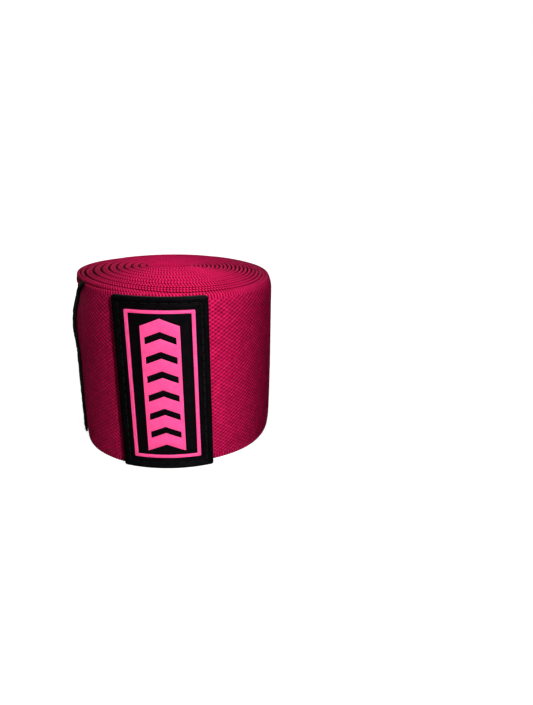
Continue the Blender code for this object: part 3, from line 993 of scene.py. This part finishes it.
def hook_shape():
    """One hook: how far its middle line leans over and stands out, and its radius, from root to end."""
    reach = HOOK_THICKNESS - HOOK_BASE
    bend = np.linspace(0, 1, HOOK_STATIONS)
    lean = reach * 0.55 * (1 - np.cos(bend * 3.6)) / 2
    stand = reach * 0.97 * np.sin(np.minimum(bend * 2.4, 2.2))
    return lean, stand, HOOK_WIRE * (1 - HOOK_TAPER * bend)


def make_hooks(material):
    """The stiff strip behind the badge: a thin base whose hooks point in at the roll."""
    edge = 0.1 * MM
    low = HOOK_BACK - HOOK_BASE
    profile = [(0.6 * MM, HOOK_BACK), (0, HOOK_BACK - edge), (0, low + edge), (0.6 * MM, low)]
    flat, faces = plate_mesh(HOOK_LENGTH, HOOK_HEIGHT, HOOK_CORNER, profile, 24, 10)
    strip = weld(new_piece("hook_base", on_strip(flat), faces, material, sharp=40))

    lean, stand, thick = hook_shape()
    sides = np.arange(HOOK_SIDES) / HOOK_SIDES * TAU
    tube = loft_faces(HOOK_STATIONS, HOOK_SIDES, closed=False)
    columns, rows = int(HOOK_LENGTH / HOOK_PITCH) - 1, int(HOOK_HEIGHT / HOOK_PITCH) - 1
    points, quads, caps = [], [], []
    for i in range(columns):
        for j in range(rows):
            facing = 1 if (i + j) % 2 else -1
            x = (i - (columns - 1) / 2) * HOOK_PITCH + facing * lean
            y = (j - (rows - 1) / 2) * HOOK_PITCH
            ring_x = x[:, None] + thick[:, None] * np.cos(sides)
            ring_y = y + thick[:, None] * np.sin(sides)
            ring_z = np.broadcast_to((low - stand)[:, None], ring_x.shape)
            first = len(points) * ring_x.size
            points.append(np.stack([ring_x, ring_y, ring_z], -1).reshape(-1, 3))
            quads.append(tube[0] + first)
            caps.append(tube[1] + first)
    faces = [np.concatenate(quads), np.concatenate(caps)]
    hooks = new_piece("hook_field", on_strip(np.concatenate(points)), faces, material, sharp=60)
    for piece in (strip, hooks):
        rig.ride(piece, "end_tab")
        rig.replaces(piece, "hook_strip")
        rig.slot(piece, "hook_strip")


# --- thumb loop ----------------------------------------------------------------------------


LOOP_STATIONS = 110
LOOP_ROWS = 40
LOOP_RIB_PITCH = 0.9 * MM
LOOP_RIB_LEAN = 1.6 * MM
LOOP_RIB_LOW = 0.82  # the tape's thickness between its ribs, as a share of the whole


def loop_spine(share):
    """The middle between the loop's two plies seen from above, from its root to its tip."""
    angle = TIP_ANGLE - share * LOOP_TURNS * TAU
    axes = lerp(LOOP_ROOT, LOOP_TIP, share[:, None])
    return EYE_SHIFT + axes * np.stack([np.cos(angle), np.sin(angle)], -1)


def loop_line():
    """The middle of the tape's thickness seen from above: out along one ply and back along the other."""
    half_gap = (LOOP_TAPE_THICKNESS + LOOP_PLY_GAP) / 2
    shares = np.linspace(0, 1, LOOP_STATIONS)
    ahead = loop_spine(shares + NUDGE) - loop_spine(shares - NUDGE)
    ahead = ahead / np.linalg.norm(ahead, axis=-1, keepdims=True)
    side = np.stack([-ahead[:, 1], ahead[:, 0]], -1)
    out_ply = loop_spine(shares) + side * half_gap
    back_ply = loop_spine(shares[::-1]) - side[::-1] * half_gap
    tip = loop_spine(shares[-1:]) + ahead[-1:] * half_gap
    root = loop_spine(shares[:1]) - ahead[:1] * half_gap
    return np.concatenate([out_ply, tip, back_ply, root])


def make_thumb_loop(material):
    """A tape loop folded flat and rolled up in the eye of the roll."""
    line = loop_line()
    walk = np.roll(line, -1, 0) - np.roll(line, 1, 0)
    walk /= np.linalg.norm(walk, axis=1, keepdims=True)
    normal = np.stack([-walk[:, 1], walk[:, 0]], -1)
    along = np.concatenate([[0], np.cumsum(np.linalg.norm(np.diff(line, axis=0), axis=1))])

    half = LOOP_TAPE_THICKNESS / 2
    heights = np.linspace(0, LOOP_TAPE_WIDTH, LOOP_ROWS)
    edge = np.minimum(heights, LOOP_TAPE_WIDTH - heights)
    bow = half * np.minimum(1, (edge / half + 0.35) ** 0.5)
    section_height = np.concatenate([heights, heights[::-1]])
    section_depth = np.concatenate([bow, -bow[::-1]])
    rows = along[:, None] / LOOP_RIB_PITCH + section_height / LOOP_RIB_LEAN
    ribs = 0.5 + 0.5 * np.cos(TAU * rows)
    depth = section_depth * lerp(LOOP_RIB_LOW, 1, ribs)
    plan = line[:, None, :] + normal[:, None, :] * depth[..., None]
    low = BAND_WIDTH + DOME_HEIGHT - LOOP_TOP_MARGIN - LOOP_TAPE_WIDTH
    z = np.broadcast_to(low + section_height, depth.shape)
    points = np.concatenate([plan, z[..., None]], -1) + ROLL_AXIS
    faces = loft_faces(len(line), len(section_height), closed=True)
    # Through its lift, the troughs between the tape's ribs take the band's painted shade.
    loop = new_piece("thumb_loop_tape", points, faces, material, ribs)
    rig.ride(loop, "roll")
    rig.replaces(loop, "thumb_loop")
    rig.slot(loop, "band")
    size = (LOOP_TAPE_WIDTH, float(along[-1]))
    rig.sheet(loop, flat=size, held="folded", rests_on=["band_inner_rounds"])


# --- materials -----------------------------------------------------------------------------


def new_material(name, roughness, specular, sheen=0.0, sheen_tint=(1, 1, 1)):
    material = bpy.data.materials.new(name)
    material.use_nodes = True
    shader = material.node_tree.nodes["Principled BSDF"]
    shader.inputs["Roughness"].default_value = roughness
    shader.inputs["Specular IOR Level"].default_value = specular
    shader.inputs["Sheen Weight"].default_value = sheen
    shader.inputs["Sheen Roughness"].default_value = 0.45
    shader.inputs["Sheen Tint"].default_value = (*sheen_tint, 1)
    return material, shader


class Nodes:
    """Adds nodes to a material and links them."""

    def __init__(self, material):
        self.tree = material.node_tree
        self.place = self.add("ShaderNodeTexCoord").outputs["Object"]

    def add(self, kind, **values):
        node = self.tree.nodes.new(kind)
        for key, value in values.items():
            setattr(node, key, value)
        return node

    def link(self, source, target):
        self.tree.links.new(source, target)

    def noise(self, size, detail=2.0, roughness=0.5):
        node = self.add("ShaderNodeTexNoise")
        node.inputs["Scale"].default_value = 1 / size
        node.inputs["Detail"].default_value = detail
        node.inputs["Roughness"].default_value = roughness
        self.link(self.place, node.inputs["Vector"])
        return node.outputs["Fac"]

    def span(self, value, low, high, to_low=0.0, to_high=1.0):
        node = self.add("ShaderNodeMapRange")
        for key, number in zip(("From Min", "From Max", "To Min", "To Max"), (low, high, to_low, to_high)):
            node.inputs[key].default_value = number
        self.link(value, node.inputs["Value"])
        return node.outputs["Result"]

    def blend(self, share, a, b, kind="MIX"):
        """Mixes two colours. Sockets 0, 6 and 7 of the node are its factor and its two colours."""
        node = self.add("ShaderNodeMix", data_type="RGBA", blend_type=kind)
        for socket, value in ((0, share), (6, a), (7, b)):
            if isinstance(value, (tuple, float)):
                node.inputs[socket].default_value = (*value, 1) if isinstance(value, tuple) else value
            else:
                self.link(value, node.inputs[socket])
        return node.outputs[2]

    def bump(self, height, distance, strength):
        node = self.add("ShaderNodeBump")
        node.inputs["Distance"].default_value = distance
        node.inputs["Strength"].default_value = strength
        self.link(height, node.inputs["Height"])
        return node.outputs["Normal"]


# The band's hole colour is painted shade: a low lift takes it, in the holes between the floats, the troughs of the
# ribs and the gaps between the rounds.
BAND_SHADED_HOLES = (0.12, 0.0005, 0.006)
BAND_CROWNS = (0.96, 0.015, 0.147)
BAND_SHEEN = (1.0, 0.1, 0.3)
# The pile's depth colour is painted shade: the low parts of the pile are darker.
PILE_SHADED_DEPTHS = (0.002, 0.002, 0.0022)
PILE_TOPS = (0.012, 0.012, 0.013)
PILE_FLUFF = (0.05, 0.052, 0.055)
PILE_SHEEN = (0.8, 0.85, 0.9)
RUBBER_BLACKS = ((0.0022, 0.002, 0.0024), (0.0042, 0.0038, 0.0046))
PRINT_PINKS = ((0.95, 0.06, 0.24), (1.0, 0.09, 0.31))
HOOK_BLACKS = ((0.006, 0.006, 0.007), (0.012, 0.012, 0.013))
THREAD_BLACKS = ((0.003, 0.003, 0.0035), (0.009, 0.009, 0.01))


def band_material():
    material, shader = new_material("band", 0.85, 0.03, sheen=0.02, sheen_tint=BAND_SHEEN)
    nodes = Nodes(material)
    lift = nodes.add("ShaderNodeAttribute", attribute_name="lift").outputs["Fac"]
    # Painted shade: the lower the lift, the nearer the colour is to the dark hole colour.
    colour = nodes.blend(nodes.span(lift, 0.15, 0.9), BAND_SHADED_HOLES, BAND_CROWNS)
    mottle = nodes.span(nodes.noise(2.2 * MM, 3), 0.3, 0.7, 0.86, 1.0)
    tone = nodes.add("ShaderNodeCombineColor")
    for socket in ("Red", "Green", "Blue"):
        nodes.link(mottle, tone.inputs[socket])
    colour = nodes.blend(1.0, colour, tone.outputs["Color"], "MULTIPLY")
    nodes.link(colour, shader.inputs["Base Color"])
    fibre = nodes.noise(0.16 * MM, 3, 0.65)
    nodes.link(nodes.bump(fibre, 0.06 * MM, 0.7), shader.inputs["Normal"])
    nodes.link(nodes.span(fibre, 0.3, 0.7, 0.72, 0.9), shader.inputs["Roughness"])
    return material


def pile_material():
    material, shader = new_material("loop_pile", 0.92, 0.08, sheen=0.03, sheen_tint=PILE_SHEEN)
    nodes = Nodes(material)
    lift = nodes.add("ShaderNodeAttribute", attribute_name="lift").outputs["Fac"]
    # Painted shade: the pile is darker where its tufts are low.
    colour = nodes.blend(nodes.span(lift, 0.3, 0.8), PILE_SHADED_DEPTHS, PILE_TOPS)
    fluff = nodes.span(nodes.noise(0.28 * MM, 4, 0.7), 0.58, 0.75)
    colour = nodes.blend(fluff, colour, PILE_FLUFF)
    nodes.link(colour, shader.inputs["Base Color"])
    nodes.link(nodes.bump(nodes.noise(0.22 * MM, 4, 0.7), 0.12 * MM, 1.0), shader.inputs["Normal"])
    return material


def moulded_material(name, colours, roughness, specular, glow=0.0):
    """Moulded rubber or plastic, with clouds of its second colour. glow is painted light: it makes a print glow, so
    that it stays bright in the shade.
    """
    material, shader = new_material(name, roughness, specular)
    nodes = Nodes(material)
    cloud = nodes.span(nodes.noise(1.6 * MM, 4, 0.6), 0.35, 0.75)
    nodes.link(nodes.blend(cloud, *colours), shader.inputs["Base Color"])
    nodes.link(nodes.span(cloud, 0, 1, roughness - 0.06, roughness + 0.08), shader.inputs["Roughness"])
    grain = nodes.bump(nodes.noise(0.12 * MM, 3, 0.6), 0.015 * MM, 0.6)
    nodes.link(grain, shader.inputs["Normal"])
    if glow:
        shader.inputs["Emission Color"].default_value = (*colours[1], 1)
        shader.inputs["Emission Strength"].default_value = glow
    return material


def thread_material():
    material, shader = new_material("black_thread", 0.8, 0.12)
    nodes = Nodes(material)
    strand = nodes.span(nodes.noise(0.18 * MM, 2), 0.35, 0.65)
    nodes.link(nodes.blend(strand, *THREAD_BLACKS), shader.inputs["Base Color"])
    nodes.link(nodes.bump(strand, 0.04 * MM, 0.8), shader.inputs["Normal"])
    return material


# --- studio --------------------------------------------------------------------------------


FLOOR_SIZE = 6
CAMERA_PLACE = Vector((20.97 * MM, -169.94 * MM, 86.82 * MM))
CAMERA_YAW = math.radians(2.674)
CAMERA_PITCH = math.radians(20.159)
CAMERA_ROLL = math.radians(1.89)
CAMERA_LENS = 29.06


def make_camera():
    data = bpy.data.cameras.new("camera")
    data.lens = CAMERA_LENS
    data.sensor_width = 36
    data.clip_start = 0.01
    camera = bpy.data.objects.new("camera", data)
    turn = Matrix.Rotation(-CAMERA_YAW, 4, "Z") @ Matrix.Rotation(math.pi / 2 - CAMERA_PITCH, 4, "X")
    camera.matrix_world = Matrix.Translation(CAMERA_PLACE) @ turn @ Matrix.Rotation(CAMERA_ROLL, 4, "Z")
    bpy.context.scene.collection.objects.link(camera)
    bpy.context.scene.camera = camera


def place_light(name, kind, place, target, power, **settings):
    """A light that the camera can't see, aimed at its target."""
    data = bpy.data.lights.new(name, kind)
    data.energy = power
    for key, value in settings.items():
        setattr(data, key, value)
    light = bpy.data.objects.new(name, data)
    light.location = place
    light.rotation_euler = (Vector(target) - Vector(place)).to_track_quat("-Z", "Y").to_euler()
    light.visible_camera = False
    bpy.context.scene.collection.objects.link(light)


def make_lights():
    """A narrow upright key light, two soft spots on the top face and the right, and weak panels all round."""
    panel = {"shape": "RECTANGLE", "size": 0.02, "size_y": 0.09, "spread": math.radians(12.5)}
    place_light("key", "AREA", (0.118, -0.274, 0.169), (0.004, -0.024, 0.028), 0.0126, **panel)
    for name, place, target, cone, power in (
        ("top", (0.03, -0.06, 0.45), (0.004, -0.012, 0.05), 16, 2.0),
        ("right", (0.12, -0.19, 0.33), (0.019, -0.016, 0.05), 9.5, 2.7),
    ):
        spot = {"shadow_soft_size": 0.03, "spot_size": math.radians(cone), "spot_blend": 1.0}
        place_light(name, "SPOT", place, target, power, **spot)
    for name, place, size, power in (
        ("fill", (-0.3, -0.35, 0.15), 0.2, 0.16),
        ("back_left", (-0.4, 0.25, 0.15), 0.3, 0.35),
        ("back", (0.02, 0.5, 0.2), 0.3, 0.5),
    ):
        place_light(name, "AREA", place, (0, 0, 0.03), power, shape="DISK", size=size)


def floor_material():
    """White paper that glows evenly, less so near the wrap, where its shadow falls."""
    material, shader = new_material("floor", 0.9, 0.1)
    shader.inputs["Base Color"].default_value = (0.5, 0.5, 0.5, 1)
    shader.inputs["Emission Color"].default_value = (1, 1, 1, 1)
    nodes = Nodes(material)
    away = nodes.add("ShaderNodeVectorMath", operation="LENGTH")
    nodes.link(nodes.place, away.inputs[0])
    glow = nodes.span(away.outputs["Value"], 0.04, 0.1, 0.92, 1.03)
    nodes.link(glow, shader.inputs["Emission Strength"])
    return material


def make_studio():
    scene = bpy.context.scene
    scene.view_settings.view_transform = "Standard"
    world = bpy.data.worlds.new("studio")
    world.use_nodes = True
    world.node_tree.nodes["Background"].inputs["Color"].default_value = (1, 1, 1, 1)
    world.cycles_visibility.diffuse = False
    world.cycles_visibility.glossy = False
    scene.world = world
    bpy.ops.mesh.primitive_plane_add(size=FLOOR_SIZE)
    floor = bpy.context.object
    floor.name = "floor"
    floor.data.materials.append(floor_material())
    floor.visible_diffuse = False
    floor.visible_glossy = False
    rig.stage(floor)
    make_lights()


def main():
    make_camera()
    band = band_material()
    pile_look = pile_material()
    rubber = moulded_material("badge_rubber", RUBBER_BLACKS, 0.5, 0.03)
    # The print's glow is painted light.
    print_rubber = moulded_material("badge_print", PRINT_PINKS, 0.5, 0.15, glow=0.3)
    hooks = moulded_material("hook_strip", HOOK_BLACKS, 0.5, 0.5)
    thread = thread_material()
    make_band(band)
    make_badge(rubber, print_rubber)
    make_badge_stitches(thread)
    make_patch(pile_look, thread)
    make_hooks(hooks)
    make_thumb_loop(band)
    make_studio()


main()

with open("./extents.json", "w") as file:
    json.dump({"cad": [list(c) for c in cad_box], "visual": [list(c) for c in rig.bounds()]}, file)
